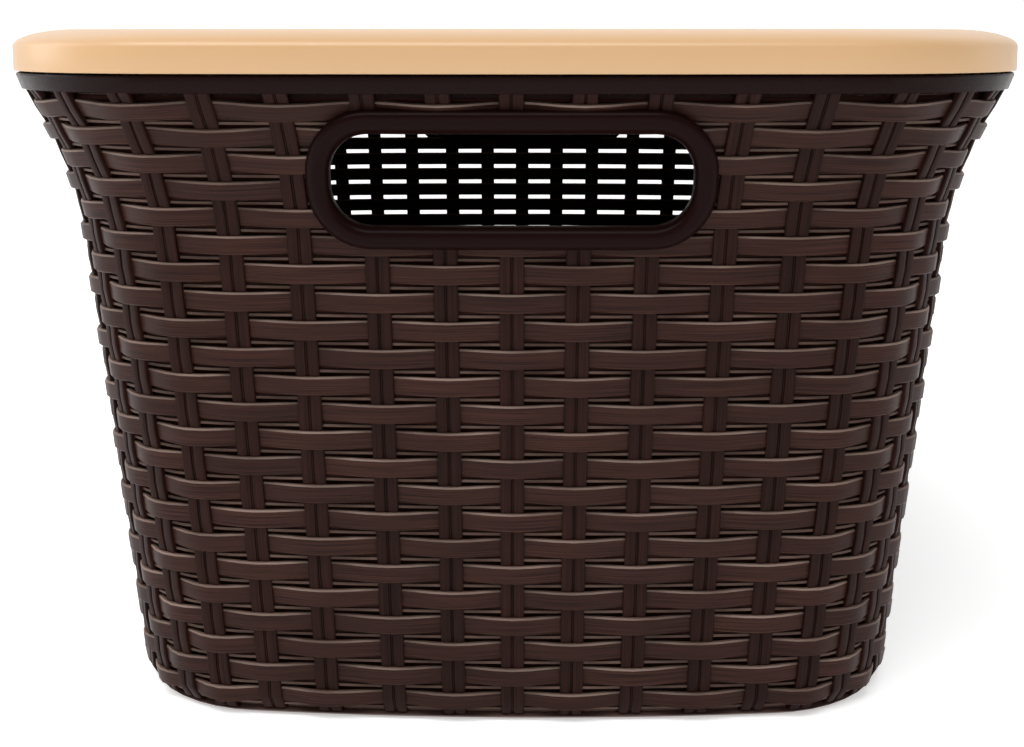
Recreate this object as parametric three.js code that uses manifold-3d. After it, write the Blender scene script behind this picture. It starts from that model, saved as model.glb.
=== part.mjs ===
// A moulded laundry basket with a rattan weave, two cut-out handles and a smooth lift-off lid.
// Millimetres, +Z up. The origin is the middle of the underside; the two short ends, which carry
// the handles, face -Y (front) and +Y (rear).
import * as THREE from "three";
import { mergeVertices } from "three/addons/utils/BufferGeometryUtils.js";
import Module from "manifold-3d";

const wasm = await Module();
wasm.setup();

// Overall sizes.
const HEIGHT = 270;
const BASE_HALF_WIDTH = 149.5;
const BASE_HALF_LENGTH = 250;
const BASE_CORNER_RADIUS = 44;
const CORNER_GROWTH = 0.61; // corner radius gained for each millimetre of outward offset
const END_BOW = 11.3; // how far the middle of an end stands out past its corners
const SIDE_BOW = 4;
const GAP = 0.3; // between pieces that touch

// The wall: it leans out all the way up and flares under the rim.
const WALL_THICKNESS = 4.2;
const WALL_TOP = 247;
const FOOT_EDGE = 5.5; // rounded edge where the wall meets the ground
const FOOT_EDGE_HEIGHT = 9;
const LEAN = 26.2; // outward lean over the full height
const FLARE_START = 189;
const FLARE = 13.3;
const FLOOR_THICKNESS = 3.2;

// The rim: a smooth band under the lid and a narrower upstand inside it.
const BAND_OFFSET = 44.3;
const BAND_TAPER = 0.5;
const BAND_TOP = 254;
const UPSTAND_OUTER = 41.2;
const UPSTAND_INNER = 38.8;

// The lid.
const LID_OFFSET = 45;
const LID_EDGE_RADIUS = 7;
const SKIRT_THICKNESS = 2.4;
const PANEL_THICKNESS = 2.6;

// The handle cut-out in each end and the smooth frame round it.
const HANDLE_HALF_WIDTH = 64.2;
const HANDLE_LOW = 198.7;
const HANDLE_HIGH = 233;
const HANDLE_RADIUS = 16;
const FRAME_WIDTH = 8.6;
const FRAME_PROUD = 3;
const FRAME_BEHIND = 2;

// How finely the outline is divided, in each quarter of it.
const END_STEPS = 6;
const CORNER_STEPS = 8;
const SIDE_STEPS = 6;
const QUARTER_STEPS = END_STEPS + CORNER_STEPS + SIDE_STEPS;
const COLUMNS = 4 * QUARTER_STEPS;

const BROWN = new THREE.Color(0x332321);
const BEIGE = new THREE.Color(0xe6bd8c);

// How far the wall's outer face stands outside the base outline at a height.
function wallOffset(z) {
  const below = Math.max(0, 1 - z / FOOT_EDGE_HEIGHT);
  const edge = FOOT_EDGE * Math.sqrt(1 - below * below);
  const flared = Math.max(0, (z - FLARE_START) / (WALL_TOP - FLARE_START));
  return edge + (LEAN * z) / HEIGHT + FLARE * flared * flared;
}

// A point on a quarter of the outline: from the middle of an end, round the corner, to the
// middle of a side, with both coordinates positive.
function quarterPoint(step, offset) {
  const halfWidth = BASE_HALF_WIDTH + offset;
  const halfLength = BASE_HALF_LENGTH + offset;
  const radius = BASE_CORNER_RADIUS + CORNER_GROWTH * offset;
  const centreX = halfWidth - radius;
  const centreY = halfLength - radius;
  const corner = step - END_STEPS;
  const side = corner - CORNER_STEPS;
  let x = (centreX * step) / END_STEPS;
  let y = halfLength;
  if (side > 0) {
    x = halfWidth;
    y = centreY * (1 - side / SIDE_STEPS);
  } else if (corner > 0) {
    const turn = (corner / CORNER_STEPS) * (Math.PI / 2);
    x = centreX + radius * Math.sin(turn);
    y = centreY + radius * Math.cos(turn);
  }
  const across = x / halfWidth;
  const along = y / halfLength;
  const sideBow = SIDE_BOW * (1 - along * along);
  const endBow = END_BOW * across * across * Math.min(1, y / centreY);
  return new THREE.Vector2(x + sideBow, y - endBow);
}

// A point of the whole outline, counted from the middle of the front end towards +X.
function outlinePoint(column, offset) {
  const quarter = Math.floor(column / QUARTER_STEPS);
  const step = column % QUARTER_STEPS;
  const mirrored = quarter % 2 === 1;
  const point = quarterPoint(mirrored ? QUARTER_STEPS - step : step, offset);
  const signX = quarter < 2 ? 1 : -1;
  const signY = quarter === 0 || quarter === 3 ? -1 : 1;
  return new THREE.Vector2(signX * point.x, signY * point.y);
}

// Sweeps a profile round the basket. A profile point is (offset from the base outline, height);
// one with no offset given (null) lies on the middle axis.
function sweptRound(profile) {
  const points = profile.map(([offset, z]) => new THREE.Vector2(offset === null ? 0 : 1, z));
  const lathe = new THREE.LatheGeometry(points, COLUMNS);
  const position = lathe.getAttribute("position");
  for (let i = 0; i < position.count; i++) {
    const [offset, z] = profile[i % profile.length];
    const column = Math.floor(i / profile.length) % COLUMNS;
    const plan = offset === null ? new THREE.Vector2() : outlinePoint(column, offset);
    position.setXYZ(i, plan.x, plan.y, z);
  }
  return lathe;
}

// Turns a closed three.js geometry into a solid that can be cut and joined.
function solid(geometry) {
  const bare = geometry.clone();
  bare.deleteAttribute("normal");
  bare.deleteAttribute("uv");
  const merged = mergeVertices(bare, 1e-4);
  const kept = [];
  for (let i = 0; i < merged.index.count; i += 3) {
    const [a, b, c] = [0, 1, 2].map((k) => merged.index.getX(i + k));
    if (a !== b && b !== c && c !== a) kept.push(a, b, c);
  }
  return new wasm.Manifold(
    new wasm.Mesh({
      numProp: 3,
      vertProperties: merged.getAttribute("position").array,
      triVerts: new Uint32Array(kept),
    }),
  );
}

function geometryOf(shape) {
  const mesh = shape.getMesh();
  const geometry = new THREE.BufferGeometry();
  geometry.setAttribute("position", new THREE.BufferAttribute(mesh.vertProperties, 3));
  geometry.setIndex(new THREE.BufferAttribute(mesh.triVerts, 1));
  geometry.computeVertexNormals();
  return geometry;
}

// A ring with a wall's profile between two distances from the wall's outer face.
function wallRing(inner, outer, levels) {
  const up = levels.map((z) => [wallOffset(z) + outer, z]);
  const down = levels.map((z) => [wallOffset(z) + inner, z]).reverse();
  return solid(sweptRound([...up, ...down, up[0]]));
}

// A rounded upright rectangle, drawn with X across and Y as the height.
function handleOutline(grow) {
  const halfWidth = HANDLE_HALF_WIDTH + grow;
  const low = HANDLE_LOW - grow;
  const high = HANDLE_HIGH + grow;
  const radius = HANDLE_RADIUS + grow;
  const shape = new THREE.Shape();
  shape.absarc(halfWidth - radius, high - radius, radius, 0, Math.PI / 2);
  shape.absarc(radius - halfWidth, high - radius, radius, Math.PI / 2, Math.PI);
  shape.absarc(radius - halfWidth, low + radius, radius, Math.PI, Math.PI * 1.5);
  shape.absarc(halfWidth - radius, low + radius, radius, Math.PI * 1.5, Math.PI * 2);
  shape.closePath();
  return shape;
}

// A prism of that shape through the front end.
function throughFrontEnd(shape) {
  const depth = 100;
  const prism = new THREE.ExtrudeGeometry(shape, { depth, bevelEnabled: false, curveSegments: 5 });
  prism.rotateX(Math.PI / 2);
  prism.translate(0, -(BASE_HALF_LENGTH - depth / 4), 0);
  return solid(prism);
}

// The wall is parted at its four corners along upright planes at 45 degrees.
const CORNER_X = BASE_HALF_WIDTH - BASE_CORNER_RADIUS;
const CORNER_Y = BASE_HALF_LENGTH - BASE_CORNER_RADIUS;
const REACH = 160;

// The region that holds one wall panel: the front end's or the right side's.
function panelRegion(isEnd) {
  const half = isEnd ? CORNER_X : CORNER_Y;
  const from = isEnd ? CORNER_Y : CORNER_X;
  const trim = GAP / Math.SQRT2;
  const shape = new THREE.Shape();
  shape.moveTo(-(half - trim - 60), from - 60);
  shape.lineTo(half - trim - 60, from - 60);
  shape.lineTo(half - trim + REACH, from + REACH);
  shape.lineTo(-(half - trim + REACH), from + REACH);
  shape.closePath();
  const prism = new THREE.ExtrudeGeometry(shape, { depth: HEIGHT + 20, bevelEnabled: false });
  prism.translate(0, 0, -10);
  prism.rotateZ(isEnd ? Math.PI : -Math.PI / 2);
  return solid(prism);
}

const WALL_LEVELS = [0, 2, 5, FOOT_EDGE_HEIGHT, 60, 125, FLARE_START, 205, 219, 233, WALL_TOP];
const FRAME_LEVELS = [170, FLARE_START, 200, 212, 224, 236, WALL_TOP];

const wall = wallRing(-WALL_THICKNESS, 0, WALL_LEVELS);
const frameOutline = throughFrontEnd(handleOutline(FRAME_WIDTH));
const frameCutOut = throughFrontEnd(handleOutline(FRAME_WIDTH + GAP));
const fingerGap = throughFrontEnd(handleOutline(0));

function endWall() {
  return geometryOf(wall.intersect(panelRegion(true)).subtract(frameCutOut));
}

function sideWall() {
  return geometryOf(wall.intersect(panelRegion(false)));
}

function handleFrame() {
  const ring = wallRing(-WALL_THICKNESS - FRAME_BEHIND, FRAME_PROUD, FRAME_LEVELS);
  return geometryOf(ring.intersect(frameOutline).subtract(fingerGap));
}

function floorPanel() {
  const edge = -WALL_THICKNESS - GAP;
  return geometryOf(solid(sweptRound([
    [null, 0],
    [edge, 0],
    [edge, FLOOR_THICKNESS],
    [null, FLOOR_THICKNESS],
  ])));
}

function rimBand() {
  const low = WALL_TOP + GAP;
  const high = HEIGHT - PANEL_THICKNESS - GAP;
  const outline = [
    [UPSTAND_INNER, low],
    [BAND_OFFSET - BAND_TAPER, low],
    [BAND_OFFSET, BAND_TOP - GAP],
    [UPSTAND_OUTER, BAND_TOP],
    [UPSTAND_OUTER, high],
    [UPSTAND_INNER, high],
  ];
  return geometryOf(solid(sweptRound([...outline, outline[0]])));
}

function lidSkirt() {
  const low = BAND_TOP + GAP;
  const high = HEIGHT - LID_EDGE_RADIUS - GAP;
  const outline = [
    [LID_OFFSET - SKIRT_THICKNESS, low],
    [LID_OFFSET, low],
    [LID_OFFSET, high],
    [LID_OFFSET - SKIRT_THICKNESS, high],
  ];
  return geometryOf(solid(sweptRound([...outline, outline[0]])));
}

function lidTop() {
  const under = HEIGHT - PANEL_THICKNESS;
  const edgeLow = HEIGHT - LID_EDGE_RADIUS;
  const steps = 5;
  const profile = [
    [null, under],
    [LID_OFFSET - SKIRT_THICKNESS - 2 * GAP, under],
    [LID_OFFSET - SKIRT_THICKNESS, edgeLow],
  ];
  for (let i = 0; i <= steps; i++) {
    const turn = (i / steps) * (Math.PI / 2);
    profile.push([
      LID_OFFSET - LID_EDGE_RADIUS * (1 - Math.cos(turn)),
      edgeLow + LID_EDGE_RADIUS * Math.sin(turn),
    ]);
  }
  profile.push([null, HEIGHT]);
  return geometryOf(solid(sweptRound(profile)));
}

// Names a piece, gives it its own plastic and turns it about the upright axis into its place.
function piece(name, geometry, color, roughness, turn = 0) {
  const material = new THREE.MeshStandardMaterial({ color, roughness, metalness: 0 });
  const mesh = new THREE.Mesh(geometry, material);
  mesh.name = name;
  mesh.rotation.z = turn;
  return mesh;
}

const basket = new THREE.Group();
basket.add(
  piece("wall_front", endWall(), BROWN, 0.45),
  piece("wall_rear", endWall(), BROWN, 0.45, Math.PI),
  piece("wall_right", sideWall(), BROWN, 0.45),
  piece("wall_left", sideWall(), BROWN, 0.45, Math.PI),
  piece("floor_panel", floorPanel(), BROWN, 0.5),
  piece("rim_band", rimBand(), BROWN, 0.4),
  piece("handle_frame_front", handleFrame(), BROWN, 0.4),
  piece("handle_frame_rear", handleFrame(), BROWN, 0.4, Math.PI),
);

const lid = new THREE.Group();
lid.add(
  piece("lid_top", lidTop(), BEIGE, 0.4),
  piece("lid_skirt", lidSkirt(), BEIGE, 0.4),
);

const laundryBasket = new THREE.Group();
laundryBasket.add(basket, lid);

export default laundryBasket;
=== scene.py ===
import math

import bmesh
import bpy
import numpy as np
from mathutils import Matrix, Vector


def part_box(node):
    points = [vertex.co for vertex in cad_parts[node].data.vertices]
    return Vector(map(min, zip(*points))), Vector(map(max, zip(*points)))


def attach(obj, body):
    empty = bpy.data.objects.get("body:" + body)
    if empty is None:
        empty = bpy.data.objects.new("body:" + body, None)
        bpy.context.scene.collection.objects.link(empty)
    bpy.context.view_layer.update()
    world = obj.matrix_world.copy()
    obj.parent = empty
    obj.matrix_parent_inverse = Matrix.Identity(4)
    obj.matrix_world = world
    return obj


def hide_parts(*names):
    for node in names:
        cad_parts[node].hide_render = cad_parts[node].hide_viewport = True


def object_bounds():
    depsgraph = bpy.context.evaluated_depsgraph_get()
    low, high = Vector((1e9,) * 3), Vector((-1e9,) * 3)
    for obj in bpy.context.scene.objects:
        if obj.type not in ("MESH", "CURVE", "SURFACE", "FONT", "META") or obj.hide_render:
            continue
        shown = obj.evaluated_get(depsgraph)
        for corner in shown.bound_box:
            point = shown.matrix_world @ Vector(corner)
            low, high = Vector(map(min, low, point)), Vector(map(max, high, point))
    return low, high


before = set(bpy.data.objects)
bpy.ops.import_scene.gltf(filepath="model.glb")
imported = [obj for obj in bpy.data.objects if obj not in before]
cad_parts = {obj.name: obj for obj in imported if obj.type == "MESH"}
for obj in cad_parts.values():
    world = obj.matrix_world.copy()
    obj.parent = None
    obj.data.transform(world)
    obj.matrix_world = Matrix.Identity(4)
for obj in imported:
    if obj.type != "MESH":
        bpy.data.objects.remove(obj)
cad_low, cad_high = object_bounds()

MM = 0.001

# ---------------------------------------------------------------------------------------------
# The camera looks at the short end with the handle, from just under the height of the lid's top
# and a little downwards, about 0.6 m in front of the basket's foot.
# ---------------------------------------------------------------------------------------------
camera_side, camera_distance, camera_under_top = 7.6 * MM, 595.5 * MM, 2 * MM
camera_fall, camera_turn = 8, 0.76
lens_data = bpy.data.cameras.new("camera")
lens_data.sensor_width = 36
lens_data.lens = 55.3
lens_data.shift_y = -0.1153
camera = bpy.data.objects.new("camera", lens_data)
foot_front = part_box("floor_panel")[0].y
camera.location = (camera_side, foot_front - camera_distance, cad_high.z - camera_under_top)
camera.rotation_euler = (math.radians(90 - camera_fall), 0, math.radians(camera_turn))
bpy.context.collection.objects.link(camera)
bpy.context.scene.camera = camera
bpy.context.scene.view_settings.view_transform = "Standard"


# ---------------------------------------------------------------------------------------------
# The stage: a pale sweep of card that runs from under the basket up behind it, a room round it
# that is white behind the basket and grey in front, and soft lamps above and to both sides.
# ---------------------------------------------------------------------------------------------
def pale_card():
    half_width, front, back, rise, bend = 9.0, -14.0, 3.0, 4.0, 1.5
    steps, under_basket = 16, 0.2 * MM
    profile = [(front, 0.0), (back - bend, 0.0)]
    for i in range(1, steps + 1):
        turn = math.pi / 2 * i / steps
        profile.append((back - bend + bend * math.sin(turn), bend - bend * math.cos(turn)))
    profile.append((back, rise))
    points = [(side * half_width, y, z - under_basket) for y, z in profile for side in (-1, 1)]
    faces = [(2 * i, 2 * i + 1, 2 * i + 3, 2 * i + 2) for i in range(len(profile) - 1)]
    mesh = bpy.data.meshes.new("pale_card")
    mesh.from_pydata(points, [], faces)
    mesh.shade_smooth()
    card = bpy.data.materials.new("pale card")
    card.use_nodes = True
    shader = card.node_tree.nodes["Principled BSDF"]
    shader.inputs["Base Color"].default_value = (0.93, 0.93, 0.93, 1)
    shader.inputs["Roughness"].default_value = 0.9
    shader.inputs["Specular IOR Level"].default_value = 0.1
    shader.inputs["Emission Color"].default_value = (1, 1, 1, 1)
    shader.inputs["Emission Strength"].default_value = 0.45
    mesh.materials.append(card)
    sweep = bpy.data.objects.new("pale_card", mesh)
    bpy.context.collection.objects.link(sweep)


def soft_lamp(name, power, size, place, target):
    light = bpy.data.lights.new(name, "AREA")
    light.shape = "RECTANGLE"
    light.size, light.size_y = size
    light.energy = power
    lamp = bpy.data.objects.new(name, light)
    lamp.location = place
    lamp.rotation_euler = (Vector(target) - Vector(place)).to_track_quat("-Z", "Y").to_euler()
    bpy.context.collection.objects.link(lamp)


pale_card()
room = bpy.data.worlds.new("white room")
bpy.context.scene.world = room
room.use_nodes = True
backdrop = room.node_tree.nodes["Background"]
backdrop.inputs["Strength"].default_value = 0.75
facing = room.node_tree.nodes.new("ShaderNodeTexCoord")
split = room.node_tree.nodes.new("ShaderNodeSeparateXYZ")
shade = room.node_tree.nodes.new("ShaderNodeMapRange")
shade.inputs["From Min"].default_value = -0.9
shade.inputs["From Max"].default_value = 0.6
shade.inputs["To Min"].default_value = 0.25
room.node_tree.links.new(facing.outputs["Generated"], split.inputs[0])
room.node_tree.links.new(split.outputs["Y"], shade.inputs["Value"])
room.node_tree.links.new(shade.outputs[0], backdrop.inputs["Color"])
soft_lamp("overhead", 31, (2.0, 1.0), (-0.4, -1.0, 1.75), (0, -0.25, 0.1))
soft_lamp("left_fill", 7, (0.8, 1.2), (-1.5, 0.0, 0.7), (0, 0, 0.15))
soft_lamp("right_fill", 1.5, (0.6, 1.2), (1.5, 0.1, 0.7), (0, 0, 0.15))

# ---------------------------------------------------------------------------------------------
# The floor: the bottom of the basket's one moulding, a plate of brown polypropylene with a
# crossed grid of low stiffening ribs inside and a shallow raised middle underneath, so that it
# stands on its edge.
# ---------------------------------------------------------------------------------------------
base_half_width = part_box("floor_panel")[1].x + 0.5 * MM
base_half_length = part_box("floor_panel")[1].y + 4.5 * MM
base_corner_radius = 44 * MM
corner_growth = 0.61
end_bow = 11.3 * MM
side_bow = 4 * MM


def stretches(offset):
    """The lengths of the end's half, the corner and the side's half at an offset."""
    radius = base_corner_radius + corner_growth * offset
    return base_half_width + offset - radius, radius * math.pi / 2, base_half_length + offset - radius


def outline_point(share, offset, reference=stretches(0)):
    """A point of the basket's outline. The share runs from 0 to 4, one for each quarter, from the
    middle of the front end towards +X. Ends, corners and sides keep their share at any offset."""
    quarter, part = int(share // 1) % 4, share % 1
    end, arc, side = reference
    along = sum(reference) * (1 - part if quarter % 2 else part)
    half_width, half_length = base_half_width + offset, base_half_length + offset
    radius = base_corner_radius + corner_growth * offset
    centre_x, centre_y = half_width - radius, half_length - radius
    if along <= end:
        x, y = centre_x * along / end, half_length
    elif along <= end + arc:
        turn = (along - end) / arc * math.pi / 2
        x, y = centre_x + radius * math.sin(turn), centre_y + radius * math.cos(turn)
    else:
        x, y = half_width, centre_y * (1 - (along - end - arc) / side)
    bowed_y = y - end_bow * (x / half_width) ** 2 * min(1, y / centre_y)
    bowed_x = x + side_bow * (1 - (y / half_length) ** 2)
    return (bowed_x if quarter < 2 else -bowed_x), (-bowed_y if quarter in (0, 3) else bowed_y)


def new_piece(name, points, faces):
    mesh = bpy.data.meshes.new(name)
    mesh.from_pydata(points, [], faces)
    piece = bpy.data.objects.new(name, mesh)
    bpy.context.collection.objects.link(piece)
    return piece


def swept_round(name, profile, columns=192):
    """Sweeps a profile round the outline. A profile point is (offset, height) or, inside, (offset,
    height, scale), where the ring is drawn in towards the middle; scale 0 is the middle itself.
    The profile closes on itself, or runs from the middle to the middle."""
    points, rings, faces = [], [], []
    for point in profile:
        offset, z, scale = (*point, 1)[:3]
        if scale == 0:
            rings.append([len(points)] * columns)
            points.append((0, 0, z))
            continue
        rings.append(list(range(len(points), len(points) + columns)))
        for column in range(columns):
            x, y = outline_point(4 * column / columns, offset)
            points.append((x * scale, y * scale, z))
    closed = profile[0][2:] != (0,)
    for ring, following in zip(rings, rings[1:] + (rings[:1] if closed else [])):
        for c in range(columns):
            n = (c + 1) % columns
            corners = [ring[c], ring[n], following[n], following[c]]
            faces.append([v for i, v in enumerate(corners) if v not in corners[:i]])
    piece = new_piece(name, points, faces)
    outward(piece)
    return piece


def outward(piece, sharp_degrees=40):
    """Turns all faces outwards and smooths all but the sharp edges."""
    work = bmesh.new()
    work.from_mesh(piece.data)
    bmesh.ops.recalc_face_normals(work, faces=work.faces)
    work.to_mesh(piece.data)
    work.free()
    piece.data.shade_smooth()
    piece.data.set_sharp_from_angle(angle=math.radians(sharp_degrees))


def node(tree, kind, inputs=(), **settings):
    """Adds a node to a tree. Each input is (name, value or another node's socket)."""
    made = tree.nodes.new(kind)
    for name, value in settings.items():
        setattr(made, name, value)
    for name, value in inputs:
        if isinstance(value, bpy.types.NodeSocket):
            tree.links.new(value, made.inputs[name])
        else:
            made.inputs[name].default_value = value
    return made


def moulded_plastic(name, color, roughness, mottle, grain_size, grain_depth, specular):
    """Moulded polypropylene: slightly uneven in tone, with the fine grain of the mould."""
    plastic = bpy.data.materials.new(name)
    plastic.use_nodes = True
    tree = plastic.node_tree
    shader = tree.nodes["Principled BSDF"]
    place = node(tree, "ShaderNodeTexCoord").outputs["Object"]
    cloud = node(tree, "ShaderNodeTexNoise", [("Vector", place), ("Scale", 9.0), ("Detail", 5.0)])
    grain = node(tree, "ShaderNodeTexNoise", [
        ("Vector", place), ("Scale", 1 / grain_size), ("Detail", 3.0), ("Roughness", 0.6),
    ])
    tone = node(tree, "ShaderNodeMix", [("Factor", cloud.outputs[0])], data_type="RGBA")
    tone.inputs[6].default_value = (*[c * (1 - mottle) for c in color], 1)
    tone.inputs[7].default_value = (*[min(1, c * (1 + mottle)) for c in color], 1)
    tree.links.new(tone.outputs[2], shader.inputs["Base Color"])
    rough = node(tree, "ShaderNodeMapRange", [
        ("Value", grain.outputs[0]), ("To Min", roughness - 0.08), ("To Max", roughness + 0.08),
    ])
    tree.links.new(rough.outputs[0], shader.inputs["Roughness"])
    bump = node(tree, "ShaderNodeBump", [
        ("Height", grain.outputs[0]), ("Strength", 0.35), ("Distance", grain_depth),
    ])
    tree.links.new(bump.outputs[0], shader.inputs["Normal"])
    shader.inputs["Specular IOR Level"].default_value = specular
    return plastic


def grid_rib_points(reach, pitch):
    count = int(reach / pitch)
    return [i * pitch for i in range(-count, count + 1)]


def bar_between(work, a, b, width, height):
    """A low rib with a rounded back between two points on the floor."""
    along = (Vector(b) - Vector(a)).normalized()
    across = Vector((-along.y, along.x, 0))
    sunk = -0.2 * MM
    half = [(0.25, height), (0.42, 0.6 * height), (0.5, sunk)]
    section = [(-s, z) for s, z in reversed(half)] + half
    count = len(section)
    rows = []
    for end in (a, b):
        places = [Vector(end) + across * (s * width) + Vector((0, 0, z)) for s, z in section]
        rows.append([work.verts.new(place) for place in places])
    for k in range(count):
        work.faces.new([rows[0][k], rows[0][(k + 1) % count], rows[1][(k + 1) % count], rows[1][k]])
    work.faces.new(rows[0])
    work.faces.new(list(reversed(rows[1])))


floor_plastic = moulded_plastic(
    "moulded brown floor", color=(0.02, 0.009, 0.008), roughness=0.3, mottle=0.25, grain_size=1.6 * MM,
    grain_depth=0.05 * MM, specular=0.5,
)


def floor_moulding():
    edge, top, raised, rib_height = -4.5 * MM, 3.2 * MM, 1.0 * MM, 1.3 * MM
    foot_width, rib_width, rib_pitch = 14 * MM, 2.2 * MM, 30 * MM
    inside = 1 - foot_width / base_half_width
    edge_ease = 0.5 * MM
    floor = swept_round("floor_moulding", [
        (0, top, 0), (edge, top, 0.4), (edge, top, inside), (edge - edge_ease, top), (edge, top - edge_ease),
        (edge, edge_ease), (edge - edge_ease, 0), (edge, 0, inside), (edge, raised, inside - 0.01),
        (edge, raised, 0.4), (0, raised, 0),
    ])
    work = bmesh.new()
    work.from_mesh(floor.data)
    rib_share, corner_share = 0.94, 0.9
    reach_x = (base_half_width + edge) * inside * rib_share
    reach_y = (base_half_length + edge) * inside * rib_share
    round_off = base_corner_radius * corner_share
    for x in grid_rib_points(reach_x, rib_pitch):
        y = reach_y - max(0, abs(x) - (reach_x - round_off))
        bar_between(work, (x, -y, top), (x, y, top), rib_width, rib_height)
    for y in grid_rib_points(reach_y, rib_pitch):
        x = reach_x - max(0, abs(y) - (reach_y - round_off))
        bar_between(work, (-x, y, top), (x, y, top), rib_width, rib_height)
    work.to_mesh(floor.data)
    work.free()
    outward(floor)
    floor.data.materials.append(floor_plastic)
    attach(floor, "basket")
    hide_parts("floor_panel")


floor_moulding()

# ---------------------------------------------------------------------------------------------
# The stakes: 72 upright pairs of flat ribs with a narrow groove between them, moulded in one
# with the wall. They stand closer round the corners, fan out with the lean of the wall and step
# out wherever no strip crosses them.
# ---------------------------------------------------------------------------------------------
row_pitch = 10.78 * MM
flare_row_pitch = 10.3 * MM
row_count = 23
first_row_top = 243.0 * MM
strip_share = 0.665  # of the row pitch
wall_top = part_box("wall_front")[1].z
flare_start = 0.7 * cad_high.z
# Gaps between stakes, from the middle of an end to the middle of a side.
stake_gaps = [23.6, 24.2, 27.0, 23.5, 21.5, 19.0, 16.5, 15.5, 16.0, 18.0] + [25.0] * 8
stake_count = 4 * len(stake_gaps)
corner_stake = 7  # the one that each end wall runs to
# How far the stakes slide sideways at the top, and the share of it from an end's middle to a
# side's middle.
fan_slide = 8.8 * MM
fan_places = [0.15, 0.21, 0.28, 0.35, 0.6, 1.0]
fan_amounts = [0.0, 0.12, 0.5, 1.0, 0.8, 0.0]
end_span, side_span = 2 * corner_stake, stake_count // 2 - 2 * corner_stake
# Each wall and the stake that it starts at, counted from the middle of the front end.
walls = {
    "front": (-corner_stake, end_span),
    "right": (corner_stake, side_span),
    "rear": (corner_stake + side_span, end_span),
    "left": (corner_stake + side_span + end_span, side_span),
}


foot_round_height, foot_round_width = 9 * MM, 5.5 * MM
wall_lean, wall_flare = 26.2 * MM, 13.3 * MM


def wall_offset(z):
    """How far the wall's outer face stands outside the outline on the ground, at a height."""
    below = max(0.0, 1 - z / foot_round_height)
    rounded_foot = foot_round_width * math.sqrt(max(0.0, 1 - below * below))
    flared = max(0.0, (z - flare_start) / (wall_top - flare_start))
    return rounded_foot + wall_lean * z / cad_high.z + wall_flare * flared * flared


def rows_by_height(steps=500):
    """Distances down the wall from the first row's top, counted in rows, and their heights."""
    heights = np.linspace(wall_top, 0.0, steps)
    offsets = np.array([wall_offset(z) for z in heights])
    pitches = np.where(heights[1:] > flare_start, flare_row_pitch, row_pitch)
    rows = np.concatenate([[0], np.cumsum(np.hypot(np.diff(heights), np.diff(offsets)) / pitches)])
    return rows - np.interp(-first_row_top, -heights, rows), heights


row_table, height_table = rows_by_height()
top_row, ground_row = float(row_table[0]), float(row_table[-1])
guide_first, guide_last = -corner_stake - 2, stake_count - corner_stake + 2


def share_of_stake(stake):
    """Where a stake, counted from the middle of the front end, stands on the outline."""
    per_quarter = len(stake_gaps)
    quarter, inside = divmod(stake, per_quarter)
    places = np.concatenate([[0], np.cumsum(stake_gaps)]) / sum(stake_gaps)
    counts = np.arange(per_quarter + 1)
    if int(quarter) % 2:
        return quarter + 1 - float(np.interp(per_quarter - inside, counts, places))
    return quarter + float(np.interp(inside, counts, places))


def fanned_share(stake, z):
    """A stake's share at a height: the stakes lean out round the corners, most at the corner."""
    share = share_of_stake(stake)
    quarter, part = share // 1, share % 1
    from_end = 1 - part if quarter % 2 else part
    lean = float(np.interp(from_end, fan_places, fan_amounts))
    slide = fan_slide * lean * z / cad_high.z / sum(stretches(0))
    return share - slide if quarter % 2 else share + slide


def wall_guide():
    """The wall's outer face as a grid whose map counts stakes across and rows down. Flat work is
    bent round the basket with it."""
    per_stake, levels = 6, 97
    slope_reach = 0.2 * MM
    reference = stretches(wall_offset(0.45 * cad_high.z))
    stakes = np.linspace(guide_first, guide_last, (guide_last - guide_first) * per_stake + 1)
    rows = np.linspace(top_row, ground_row, levels)
    points, normals = [], []
    for row in rows:
        z = float(np.interp(row, row_table, height_table))
        over, under = z + slope_reach, max(0.0, z - slope_reach)
        slope = (wall_offset(over) - wall_offset(under)) / (over - under)
        ring = np.array([outline_point(fanned_share(s, z), wall_offset(z), reference) for s in stakes])
        along = np.gradient(ring, axis=0)
        along /= np.linalg.norm(along, axis=1)[:, None]
        points += [(x, y, z) for x, y in ring]
        normals += [Vector((ty, -tx, -slope)).normalized() for tx, ty in along]
    columns = len(stakes)
    starts = [level * columns + c for level in range(levels - 1) for c in range(columns - 1)]
    guide = new_piece("wall_guide", points, [(s, s + columns, s + columns + 1, s + 1) for s in starts])
    mesh = guide.data
    directions = mesh.attributes.new("outward", "FLOAT_VECTOR", "POINT")
    directions.data.foreach_set("vector", np.array(normals).ravel())
    corners = np.zeros(len(mesh.loops), dtype=np.int32)
    mesh.loops.foreach_get("vertex_index", corners)
    across, down = np.linspace(0, 1, columns), np.linspace(0, 1, levels)
    uv = np.stack([across[corners % columns], down[corners // columns]], axis=1)
    mesh.uv_layers.new(name="stations").data.foreach_set("uv", uv.ravel())
    return guide


guide = wall_guide()
handle_half_width = 65.8 * MM
handle_low, handle_high = 198.7 * MM, 233 * MM
handle_radius = 14.8 * MM


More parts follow.
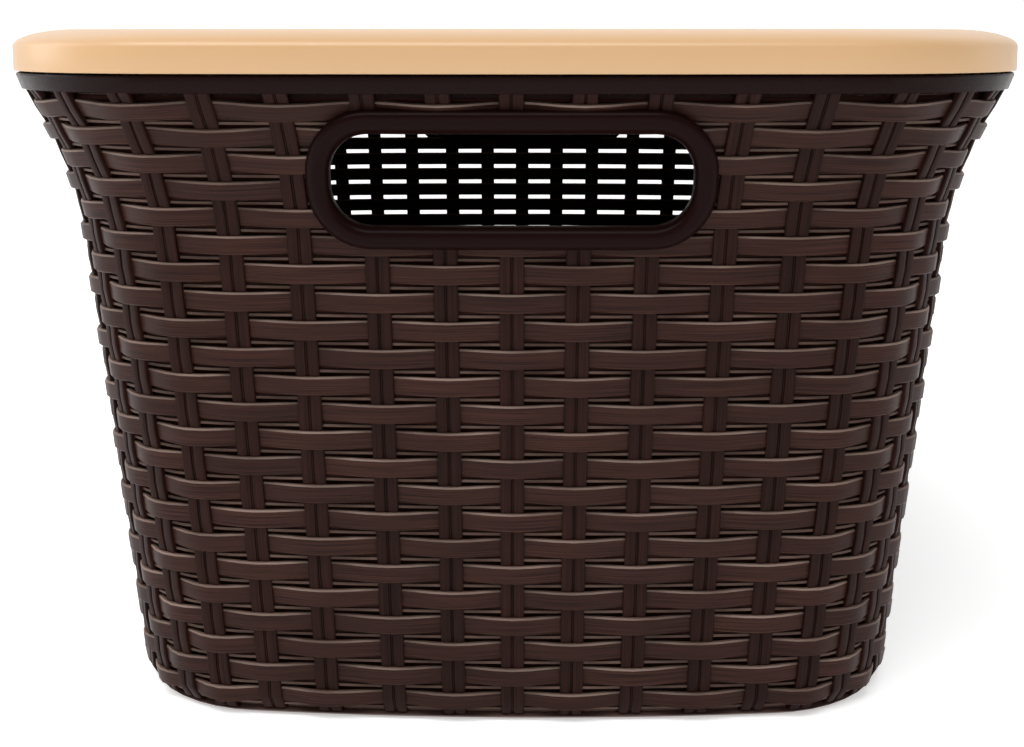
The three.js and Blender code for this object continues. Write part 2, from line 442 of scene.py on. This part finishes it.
def handle_outline(grow, arc_steps=8, straight_steps=1):
    """The rounded upright rectangle of the hand opening, as (x, z) points."""
    half_width, radius = handle_half_width + grow, handle_radius + grow
    low, high = handle_low - grow, handle_high + grow
    centres = [
        (half_width - radius, high - radius), (radius - half_width, high - radius),
        (radius - half_width, low + radius), (half_width - radius, low + radius),
    ]
    outline = []
    for quarter, (x, z) in enumerate(centres):
        for i in range(arc_steps + 1):
            turn = math.pi / 2 * (quarter + i / arc_steps)
            outline.append((x + radius * math.cos(turn), z + radius * math.sin(turn)))
        x_next, z_next = centres[(quarter + 1) % 4]
        turn = math.pi / 2 * (quarter + 1)
        x_end, z_end = x_next + radius * math.cos(turn), z_next + radius * math.sin(turn)
        x_start, z_start = outline[-1]
        for i in range(1, straight_steps):
            t = i / straight_steps
            outline.append((x_start + (x_end - x_start) * t, z_start + (z_end - z_start) * t))
    return outline


def hand_hole_cutter():
    """Two prisms, one through each end, that reach under the handle frames."""
    under_frame, inwards, outwards = 3.5 * MM, 60 * MM, 80 * MM
    outline = handle_outline(under_frame)
    count = len(outline)
    points, faces = [], []
    for side in (-1, 1):
        base = len(points)
        for y in (base_half_length - inwards, base_half_length + outwards):
            points += [(x, side * y, z) for x, z in outline]
        for i in range(count):
            a, b = base + i, base + (i + 1) % count
            faces.append((a, b, b + count, a + count))
        faces.append(tuple(base + i for i in reversed(range(count))))
        faces.append(tuple(base + count + i for i in range(count)))
    cutter = new_piece("hand_hole_cutter", points, faces)
    outward(cutter)
    return cutter


cutter = hand_hole_cutter()
weave_inputs = {
    "Pattern": "NodeSocketObject", "Wall": "NodeSocketObject", "Hand holes": "NodeSocketObject",
    "Plastic": "NodeSocketMaterial", "First stake": "NodeSocketFloat", "Stake step": "NodeSocketFloat",
    "In a row": "NodeSocketInt", "Rows": "NodeSocketInt", "Shift every other row": "NodeSocketFloat",
    "Ripple": "NodeSocketFloat", "Upright grain": "NodeSocketFloat", "Seed": "NodeSocketInt",
}


def weave_tree():
    """Sets a flat pattern out on a grid of stakes and rows, bends it round the wall, and cuts the
    hand holes. A pattern is drawn as (stakes, rows, depth), plus metres sideways."""
    tree = bpy.data.node_groups.new("weave laid on the wall", "GeometryNodeTree")
    tree.interface.new_socket("Geometry", in_out="INPUT", socket_type="NodeSocketGeometry")
    for label, kind in weave_inputs.items():
        tree.interface.new_socket(label, in_out="INPUT", socket_type=kind)
    tree.interface.new_socket("Geometry", in_out="OUTPUT", socket_type="NodeSocketGeometry")
    given = tree.nodes.new("NodeGroupInput").outputs

    def calc(operation, a, b=0.0, c=0.0):
        return node(tree, "ShaderNodeMath", [(0, a), (1, b), (2, c)], operation=operation).outputs[0]

    def vector(operation, a, b):
        return node(tree, "ShaderNodeVectorMath", [(0, a), (1, b)], operation=operation).outputs[0]

    def scaled(a, factor):
        return node(tree, "ShaderNodeVectorMath", [(0, a), ("Scale", factor)], operation="SCALE").outputs[0]

    def attribute(name, kind):
        return node(tree, "GeometryNodeInputNamedAttribute", [("Name", name)], data_type=kind).outputs[0]

    index = node(tree, "GeometryNodeInputIndex").outputs[0]
    row = calc("FLOOR", calc("DIVIDE", calc("ADD", index, 0.5), given["In a row"]))
    along = calc("SUBTRACT", index, calc("MULTIPLY", row, given["In a row"]))
    odd = calc("FLOORED_MODULO", calc("ADD", calc("ADD", given["First stake"], row), 1.0), 2.0)
    stake = calc("MULTIPLY_ADD", along, given["Stake step"], given["First stake"])
    stake = calc("MULTIPLY_ADD", odd, given["Shift every other row"], stake)
    spot = node(tree, "ShaderNodeCombineXYZ", [("X", stake), ("Y", row)]).outputs[0]
    places = node(tree, "GeometryNodePoints", [
        ("Count", calc("MULTIPLY", given["In a row"], given["Rows"])), ("Position", spot),
    ])
    pattern = node(tree, "GeometryNodeObjectInfo", [("Object", given["Pattern"])])
    set_out = node(tree, "GeometryNodeInstanceOnPoints", [
        ("Points", places.outputs[0]), ("Instance", pattern.outputs["Geometry"]),
    ])
    chance = node(tree, "FunctionNodeRandomValue", [("Seed", given["Seed"])], data_type="FLOAT")
    marked = node(tree, "GeometryNodeStoreNamedAttribute", [
        ("Geometry", set_out.outputs[0]), ("Name", "strand"), ("Value", chance.outputs[1]),
    ], data_type="FLOAT", domain="INSTANCE")
    real = node(tree, "GeometryNodeRealizeInstances", [("Geometry", marked.outputs[0])])

    flat = node(tree, "ShaderNodeSeparateXYZ", [(0, node(tree, "GeometryNodeInputPosition").outputs[0])])
    sideways, strand = attribute("sideways", "FLOAT"), attribute("strand", "FLOAT")
    usual_gap = 24 * MM
    across = calc("MULTIPLY_ADD", flat.outputs["X"], usual_gap, sideways)
    down = calc("MULTIPLY", flat.outputs["Y"], row_pitch)
    lying = node(tree, "ShaderNodeCombineXYZ", [
        ("X", calc("ADD", across, strand)), ("Y", down), ("Z", flat.outputs["Z"]),
    ])
    upright = node(tree, "ShaderNodeCombineXYZ", [
        ("X", calc("ADD", down, strand)), ("Y", across), ("Z", flat.outputs["Z"]),
    ])
    grain = node(tree, "ShaderNodeMix", [
        ("Factor", given["Upright grain"]), (4, lying.outputs[0]), (5, upright.outputs[0]),
    ], data_type="VECTOR")
    grained = node(tree, "GeometryNodeStoreNamedAttribute", [
        ("Geometry", real.outputs[0]), ("Name", "grain"), ("Value", grain.outputs[1]),
    ], data_type="FLOAT_VECTOR", domain="POINT")

    wall = node(tree, "GeometryNodeObjectInfo", [("Object", given["Wall"])]).outputs["Geometry"]
    from_first = calc("SUBTRACT", flat.outputs["X"], float(guide_first))
    u = calc("DIVIDE", from_first, float(guide_last - guide_first))
    v = calc("DIVIDE", calc("SUBTRACT", flat.outputs["Y"], top_row), ground_row - top_row)
    place = node(tree, "ShaderNodeCombineXYZ", [("X", u), ("Y", v)]).outputs[0]
    stations = attribute("stations", "FLOAT_VECTOR")

    def on_wall(value):
        return node(tree, "GeometryNodeSampleUVSurface", [
            (0, wall), (1, value), (2, stations), (3, place),
        ], data_type="FLOAT_VECTOR").outputs[0]

    out = on_wall(attribute("outward", "FLOAT_VECTOR"))
    level = vector("CROSS_PRODUCT", (0, 0, 1), out)
    level = node(tree, "ShaderNodeVectorMath", [(0, level)], operation="NORMALIZE").outputs[0]
    from_strip = calc("SUBTRACT", flat.outputs["Y"], strip_share / 2)
    turn = calc("MULTIPLY", calc("ADD", from_strip, flat.outputs["X"]), math.pi)
    depth = calc("MULTIPLY_ADD", calc("COSINE", turn), given["Ripple"], flat.outputs["Z"])
    face = on_wall(node(tree, "GeometryNodeInputPosition").outputs[0])
    moved = vector("ADD", vector("ADD", face, scaled(level, sideways)), scaled(out, depth))
    laid = node(tree, "GeometryNodeSetPosition", [("Geometry", grained.outputs[0]), ("Position", moved)])
    holes = node(tree, "GeometryNodeObjectInfo", [("Object", given["Hand holes"])])
    cut = node(tree, "GeometryNodeMeshBoolean", [
        ("Mesh 1", laid.outputs[0]), ("Mesh 2", holes.outputs["Geometry"]),
    ], operation="DIFFERENCE", solver="MANIFOLD")
    made = node(tree, "GeometryNodeRealizeInstances", [("Geometry", cut.outputs[0])])
    painted = node(tree, "GeometryNodeSetMaterial", [
        ("Geometry", made.outputs[0]), ("Material", given["Plastic"]),
    ])
    tree.links.new(painted.outputs[0], tree.nodes.new("NodeGroupOutput").inputs["Geometry"])
    return tree


weaving = weave_tree()


def woven(name, pattern, plastic, **settings):
    """Runs the weave tree and gives its result as a plain mesh that rides on the basket."""
    holder = new_piece(name + "_holder", [], [])
    modifier = holder.modifiers.new("weave", "NODES")
    modifier.node_group = weaving
    values = {
        "Pattern": pattern, "Wall": guide, "Hand holes": cutter, "Plastic": plastic, "Stake step": 1.0,
        "Rows": 1, "Shift every other row": 0.0, "Ripple": 0.0, "Upright grain": 0.0, "Seed": 7,
    }
    values.update({label.replace("_", " "): value for label, value in settings.items()})
    for socket in weaving.interface.items_tree:
        if socket.name in values and socket.in_out == "INPUT":
            modifier[socket.identifier] = values[socket.name]
    evaluated = holder.evaluated_get(bpy.context.evaluated_depsgraph_get())
    mesh = bpy.data.meshes.new_from_object(evaluated)
    holder.modifiers.remove(modifier)
    bpy.data.objects.remove(holder)
    piece = bpy.data.objects.new(name, mesh)
    bpy.context.collection.objects.link(piece)
    outward(piece, 32)
    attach(piece, "basket")
    return piece


def flat_pattern(name, stations, sections, painted_highlight=()):
    """A closed bar in flat (stakes, rows, depth) space, with a sideways distance in metres for
    each point. There is one section, a list of (x, y, depth, sideways), for each station. The last
    argument gives, in order, how much painted highlight each side of the section gets, kept in the
    face attribute edge; the others get none."""
    size = len(sections[0])
    points, sideways = [], []
    for section in sections:
        points += [(x, y, depth) for x, y, depth, _ in section]
        sideways += [s for *_, s in section]
    faces = []
    for s in range(len(stations) - 1):
        for k in range(size):
            a, b = s * size + k, s * size + (k + 1) % size
            faces.append((a, b, b + size, a + size))
    faces.append(tuple(reversed(range(size))))
    faces.append(tuple(range(len(points) - size, len(points))))
    pattern = new_piece(name, points, faces)
    outward(pattern)
    pattern.data.attributes.new("sideways", "FLOAT", "POINT").data.foreach_set("value", sideways)
    shares = list(painted_highlight) + [0.0] * (size - len(painted_highlight))
    edges = shares * (len(stations) - 1) + [0.0, 0.0]
    pattern.data.attributes.new("edge", "FLOAT", "FACE").data.foreach_set("value", edges)
    return pattern


def brushed_plastic(name, color, edge_highlight_color, light_share, roughness, streak_length, streak_width, specular):
    """Brown polypropylene with the fine drawn-out grain of split cane, along the strand's own
    grain map, with a painted highlight on its edges, and in a slightly different tone for each strand."""
    plastic = bpy.data.materials.new(name)
    plastic.use_nodes = True
    tree = plastic.node_tree
    shader = tree.nodes["Principled BSDF"]
    strand = node(tree, "ShaderNodeAttribute", attribute_name="strand", attribute_type="GEOMETRY")
    grain_map = node(tree, "ShaderNodeAttribute", attribute_name="grain", attribute_type="GEOMETRY")
    drawn_out = node(tree, "ShaderNodeMapping", [
        ("Vector", grain_map.outputs["Vector"]), ("Scale", (1 / streak_length, 1 / streak_width, 0)),
    ])
    streaks = node(tree, "ShaderNodeTexNoise", [
        ("Vector", drawn_out.outputs[0]), ("Scale", 1.0), ("Detail", 4.0), ("Roughness", 0.62),
    ]).outputs[0]
    # Noise for random patches of tone, which also makes the painted edge highlight patchy.
    blotches = node(tree, "ShaderNodeTexNoise", [
        ("Vector", node(tree, "ShaderNodeTexCoord").outputs["Object"]), ("Scale", 30.0), ("Detail", 4.0),
    ]).outputs[0]
    light = tuple(min(1.0, c * light_share) for c in color)
    dark = tuple(c / light_share for c in color)
    share = node(tree, "ShaderNodeMapRange", [("Value", streaks), ("From Min", 0.36), ("From Max", 0.64)])
    tone = node(tree, "ShaderNodeMix", [
        ("Factor", share.outputs[0]), (6, (*dark, 1)), (7, (*light, 1)),
    ], data_type="RGBA")
    lightness = node(tree, "ShaderNodeMapRange", [
        ("Value", strand.outputs["Fac"]), ("To Min", 0.86), ("To Max", 1.12),
    ])
    patches = node(tree, "ShaderNodeMapRange", [("Value", blotches), ("To Min", 0.8), ("To Max", 1.2)])
    both = node(tree, "ShaderNodeMath", [
        (0, lightness.outputs[0]), (1, patches.outputs[0]),
    ], operation="MULTIPLY")
    # The edge attribute and the edge highlight colour paint a highlight on the lit edges, patchy with the
    # noise.
    edge = node(tree, "ShaderNodeAttribute", attribute_name="edge", attribute_type="GEOMETRY")
    uneven = node(tree, "ShaderNodeMapRange", [
        ("Value", blotches), ("From Min", 0.3), ("From Max", 0.6), ("To Min", 0.45),
    ])
    highlight_share = node(tree, "ShaderNodeMath", [
        (0, edge.outputs["Fac"]), (1, uneven.outputs[0]),
    ], operation="MULTIPLY")
    painted_highlight = node(tree, "ShaderNodeMix", [
        ("Factor", highlight_share.outputs[0]), (6, tone.outputs[2]), (7, (*edge_highlight_color, 1)),
    ], data_type="RGBA")
    toned = node(tree, "ShaderNodeVectorMath", [
        (0, painted_highlight.outputs[2]), ("Scale", both.outputs[0]),
    ], operation="SCALE")
    tree.links.new(toned.outputs[0], shader.inputs["Base Color"])
    rough = node(tree, "ShaderNodeMapRange", [
        ("Value", streaks), ("From Min", 0.3), ("From Max", 0.7),
        ("To Min", roughness - 0.07), ("To Max", roughness + 0.1),
    ])
    tree.links.new(rough.outputs[0], shader.inputs["Roughness"])
    streak_depth = 0.14 * MM
    bump = node(tree, "ShaderNodeBump", [("Height", streaks), ("Strength", 0.5), ("Distance", streak_depth)])
    tree.links.new(bump.outputs[0], shader.inputs["Normal"])
    shader.inputs["Specular IOR Level"].default_value = specular
    return plastic


stake_face = -1.6 * MM
stake_plastic = brushed_plastic(
    "brushed brown stakes", color=(0.0150, 0.0048, 0.0033), edge_highlight_color=(0.05, 0.03, 0.025), light_share=1.8,
    roughness=0.5, streak_length=60 * MM, streak_width=0.6 * MM, specular=0.08,
)


def stake_pattern():
    """A pair of ribs, the length of the wall, from under the rim down to the foot."""
    groove = [(0.0, -0.3), (0.13, -0.35), (0.26, -0.75), (0.48, -0.75)]
    half = groove + [(0.6, -0.15), (0.95, 0.0), (2.5, 0.12), (4.0, 0.0), (4.45, -0.4), (4.5, -1.9)]
    outline = [(-s, d) for s, d in reversed(half[1:])] + half
    middles = [i + strip_share / 2 for i in range(row_count)]
    stations = [top_row + 0.02] + middles + [middles[-1] + 0.7, ground_row - 0.04]
    sections = [[(0.0, y, stake_face + d * MM, s * MM) for s, d in outline] for y in stations]
    return flat_pattern("stake_pattern", stations, sections)


stake = stake_pattern()
for wall_name, (first, span) in walls.items():
    woven(
        "stakes_" + wall_name, stake, stake_plastic, First_stake=float(first), In_a_row=span,
        Ripple=0.35 * MM, Upright_grain=1.0, Seed=3,
    )
bpy.data.objects.remove(stake)

# ---------------------------------------------------------------------------------------------
# The weft strips: 23 rows of short flat strips with eased edges, moulded to look like split
# cane. Each runs from behind one stake, over the next and back behind the one after it, and the
# rows alternate.
# ---------------------------------------------------------------------------------------------
weave_depth = 3.0 * MM  # from a strip's middle back to its ends
strip_thickness = 1.7 * MM
# The strips' edge highlight colour is a painted highlight for the light on their top edges.
strip_plastic = brushed_plastic(
    "brushed brown strips", color=(0.0230, 0.0084, 0.0060), edge_highlight_color=(0.20, 0.140, 0.115), light_share=2.2,
    roughness=0.4, streak_length=45 * MM, streak_width=0.34 * MM, specular=0.09,
)


def strip_pattern():
    """One strip over one stake, sunk at both ends, with a painted highlight on its top edge."""
    reach = 0.985
    stations = [-reach, -0.88, -0.76, -0.6, -0.32, 0.0, 0.32, 0.6, 0.76, 0.88, reach]
    bevel, bevel_depth = 0.055, 0.55 * MM
    outline = [
        (0.0, -strip_thickness), (0.0, -bevel_depth), (bevel, 0.0),
        (strip_share - bevel, 0.0), (strip_share, -bevel_depth), (strip_share, -strip_thickness),
    ]
    sections = []
    for x in stations:
        sunk = weave_depth * (1 - math.cos(math.pi * x)) / 2
        sections.append([(x, y, depth - sunk, 0.0) for y, depth in outline])
    # Painted highlight: half strength on the top face, full on the top bevel, a trace on the lower bevel.
    return flat_pattern("strip_pattern", stations, sections, painted_highlight=(0.5, 1.0, 0.0, 0.06))


strip = strip_pattern()
for wall_name, (first, span) in walls.items():
    weft = woven(
        "weft_" + wall_name, strip, strip_plastic, First_stake=float(first), Stake_step=2.0,
        In_a_row=span // 2, Rows=row_count, Shift_every_other_row=1.0,
    )
    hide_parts("wall_" + wall_name)
bpy.data.objects.remove(strip)

# ---------------------------------------------------------------------------------------------
# The inner lattice: low bars along each row and behind each stake on the inside of the wall,
# which hold the weave together, and a narrow ledge under the strips of the front and the sides.
# The slits between them are open.
# ---------------------------------------------------------------------------------------------
bar_back = -6.2 * MM


def row_bar_pattern(span):
    """A bar behind a whole row of one wall, which rises to an edge inside with a painted highlight."""
    outline = [
        (0.0, bar_back), (-0.1, bar_back), (-0.09, bar_back + 0.3 * MM),
        (0.02, -4.3 * MM), (0.5, -4.3 * MM), (0.55, bar_back),
    ]
    stations = [i / 2 for i in range(2 * span + 1)]
    sections = [[(x, y, depth, 0.0) for y, depth in outline] for x in stations]
    # A full painted highlight goes on the bar's inner edge.
    return flat_pattern("row_bar", stations, sections, painted_highlight=(1.0, 1.0))


def stake_bar_pattern():
    """A bar behind one stake, from under the rim to just above the foot."""
    half = [(2.2, -3.45 * MM), (2.75, -3.9 * MM), (2.75, bar_back)]
    outline = [(-s, depth) for s, depth in reversed(half)] + half
    stations = [top_row + 0.02] + list(range(1, row_count)) + [row_count - 0.2, ground_row - 0.5]
    sections = [[(0.0, y, depth, s * MM) for s, depth in outline] for y in stations]
    return flat_pattern("stake_bar", stations, sections)


def ledge_pattern(span):
    """A narrow ledge that shows under each strip of a row, with a painted highlight on its edge."""
    outline = [(-0.03, -4.4), (0.1, -3.9), (0.12, -3.05), (0.2, -2.75), (0.235, -3.1), (0.24, -4.4)]
    outline = [(strip_share + y, depth * MM) for y, depth in outline]
    stations = [i / 2 for i in range(2 * span + 1)]
    sections = [[(x, y, depth, 0.0) for y, depth in outline] for x in stations]
    # Painted highlight on the faces that look up and out, half strength at most.
    return flat_pattern("ledge", stations, sections, painted_highlight=(0.0, 0.1, 0.5))


stake_bar = stake_bar_pattern()
for wall_name, (first, span) in walls.items():
    row_bar = row_bar_pattern(span)
    woven(
        "row_bars_" + wall_name, row_bar, strip_plastic, First_stake=float(first), In_a_row=1,
        Rows=row_count, Seed=5,
    )
    woven(
        "stake_bars_" + wall_name, stake_bar, stake_plastic, First_stake=float(first), In_a_row=span,
        Upright_grain=1.0, Seed=6,
    )
    bpy.data.objects.remove(row_bar)
    if wall_name != "rear":
        ledge = ledge_pattern(span)
        woven(
            "ledges_" + wall_name, ledge, strip_plastic, First_stake=float(first), In_a_row=1,
            Rows=row_count, Seed=9,
        )
        bpy.data.objects.remove(ledge)
bpy.data.objects.remove(stake_bar)
bpy.data.objects.remove(cutter)
bpy.data.objects.remove(guide)

# ---------------------------------------------------------------------------------------------
# The foot: a low rounded lip that runs round under the weave, with a curb inside it that joins
# the wall to the floor.
# ---------------------------------------------------------------------------------------------
foot_plastic = moulded_plastic(
    "moulded brown foot", color=(0.10, 0.058, 0.047), roughness=0.42, mottle=0.25, grain_size=1.2 * MM,
    grain_depth=0.08 * MM, specular=0.3,
)


def foot_lip():
    lip_depth, lip_top, lip_heights = 1.3, 2.1, [0.3, 0.7, 1.2, 1.7]
    curb_face, curb_back, curb_heights = 4.6, 6.2, [2.6, 4.5, 7.0]
    ground_edge, lip_ease, floor_edge = -1.9, 0.8, -4.3
    lip = [(wall_offset(z * MM) / MM - lip_depth, z) for z in lip_heights]
    curb = [(wall_offset(z * MM) / MM - curb_face, z) for z in curb_heights]
    curb_inside = [(curb[-1][0] + curb_face - curb_back, curb_heights[-1]), (-2.5, 4)]
    curb_inside += [(floor_edge, 2.5), (floor_edge, 0)]
    profile = [(ground_edge, 0)] + lip + [(lip[-1][0] - lip_ease, lip_top)] + curb + curb_inside
    profile = [(offset * MM, z * MM) for offset, z in profile]
    foot = swept_round("foot_lip", profile)
    foot.data.materials.append(foot_plastic)
    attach(foot, "basket")


foot_lip()

# ---------------------------------------------------------------------------------------------
# The handle frames: a smooth rounded moulding round the hand opening in each end, proud of the
# weave, with a narrow inner lip that shows the thickness of the wall.
# ---------------------------------------------------------------------------------------------
smooth_brown = (0.0090, 0.0030, 0.0025)
frame_plastic = moulded_plastic(
    "smooth brown handle frames", color=smooth_brown, roughness=0.3, mottle=0.2, grain_size=1.0 * MM,
    grain_depth=0.03 * MM, specular=0.04,
)


def handle_frame(name, side):
    """Sweeps the frame's section, (distance out from the opening, depth), round the opening."""
    section = [
        (0.0, -6.2), (0.0, -1.2), (0.25, 0.2), (0.9, 1.4), (2.2, 2.5), (4.3, 3.0), (6.4, 2.5), (7.9, 1.2),
        (8.6, -0.6), (8.6, -3.0), (4.2, -3.4), (3.6, -6.2),
    ]
    rings = [handle_outline(out * MM, arc_steps=10, straight_steps=14) for out, _ in section]
    points = []
    for ring, (_, depth) in zip(rings, section):
        for x, z in ring:
            offset = wall_offset(z) + depth * MM
            y = base_half_length + offset - end_bow * (x / (base_half_width + offset)) ** 2
            points.append((-side * x, side * y, z))
    count, size = len(rings[0]), len(section)
    faces = []
    for k in range(size):
        for i in range(count):
            a, b, j = k * count, (k + 1) % size * count, (i + 1) % count
            faces.append((a + i, a + j, b + j, b + i))
    frame_piece = new_piece(name, points, faces)
    outward(frame_piece, 50)
    frame_piece.data.materials.append(frame_plastic)
    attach(frame_piece, "basket")
    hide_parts(name.replace("surround", "frame"))


handle_frame("handle_surround_front", -1)
handle_frame("handle_surround_rear", 1)

# ---------------------------------------------------------------------------------------------
# The rim: a smooth band round the top of the wall, with a lip down behind the weave and a thin
# upstand inside it that keeps the lid in its place.
# ---------------------------------------------------------------------------------------------
rim_plastic = moulded_plastic(
    "smooth brown rim", color=smooth_brown, roughness=0.26, mottle=0.2, grain_size=1.0 * MM,
    grain_depth=0.03 * MM, specular=0.06,
)


def rim():
    low, top = 247.3, 253.7
    outer, taper, ease = 44.3, 1.6, 0.8
    upstand_outer, upstand_inner, upstand_low, upstand_top = 41.2, 38.8, 254.0, 263.2
    lip_low, lip_behind_weave, lip_thickness = 240.5, 4.4, 1.8
    lip_outer = wall_offset(first_row_top) / MM - lip_behind_weave
    lip_inner = lip_outer - lip_thickness
    underside = outer - taper
    profile = [(upstand_inner, low + 1)]
    profile += [(lip_inner, low), (lip_inner, lip_low), (lip_outer, lip_low), (lip_outer, low)]
    profile += [(underside - ease, low), (underside - 0.25 * ease, low + 0.25 * ease)]
    profile.append((underside, low + ease))
    profile += [(outer, top - ease), (outer - 0.25 * ease, top - 0.25 * ease), (outer - ease, top)]
    profile += [(upstand_outer, upstand_low), (upstand_outer, upstand_top), (upstand_inner, upstand_top)]
    band = swept_round("rim", [(offset * MM, z * MM) for offset, z in profile])
    band.data.materials.append(rim_plastic)
    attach(band, "basket")
    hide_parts("rim_band")


rim()

# ---------------------------------------------------------------------------------------------
# The lid: one moulding of warm beige polypropylene with a smooth satin top, a well rounded edge
# and a short skirt that stands on the rim outside the upstand.
# ---------------------------------------------------------------------------------------------
lid_beige = (0.60, 0.372, 0.19)
lid_plastic = moulded_plastic(
    "smooth beige lid", color=lid_beige, roughness=0.32, mottle=0.035, grain_size=1.4 * MM,
    grain_depth=0.03 * MM, specular=0.5,
)


def lid():
    outer, skirt, panel = 45.0, 2.4, 2.6
    edge_width, edge_height = 22.0, 6.5
    low, top, ease = 254.3, 270.0, 0.6
    inner, flat = outer - skirt, outer - edge_width
    panel_edge = inner - 16
    profile = [(0, top - panel, 0), (panel_edge, top - panel, 0.5), (panel_edge, top - panel)]
    profile += [(inner - 6, top - 4.2), (inner - 0.8, top - 6.5), (inner, top - 7.5)]
    profile += [(inner, low + 0.3), (inner + 0.3, low)]
    profile += [(outer - ease, low), (outer - 0.2 * ease, low + 0.25 * ease), (outer, low + ease)]
    steps = 14
    for i in range(steps + 1):
        turn = math.pi / 2 * i / steps
        fall, reach = edge_height * (1 - math.sin(turn)), edge_width * (1 - math.cos(turn))
        profile.append((outer - reach, top - fall))
    profile += [(flat, top, scale) for scale in (0.95, 0.7, 0.35)]
    profile.append((0, top, 0))
    cover = swept_round("lid", [(p[0] * MM, p[1] * MM, *p[2:]) for p in profile])
    cover.data.materials.append(lid_plastic)
    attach(cover, "lid")
    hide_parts("lid_top", "lid_skirt")


lid()
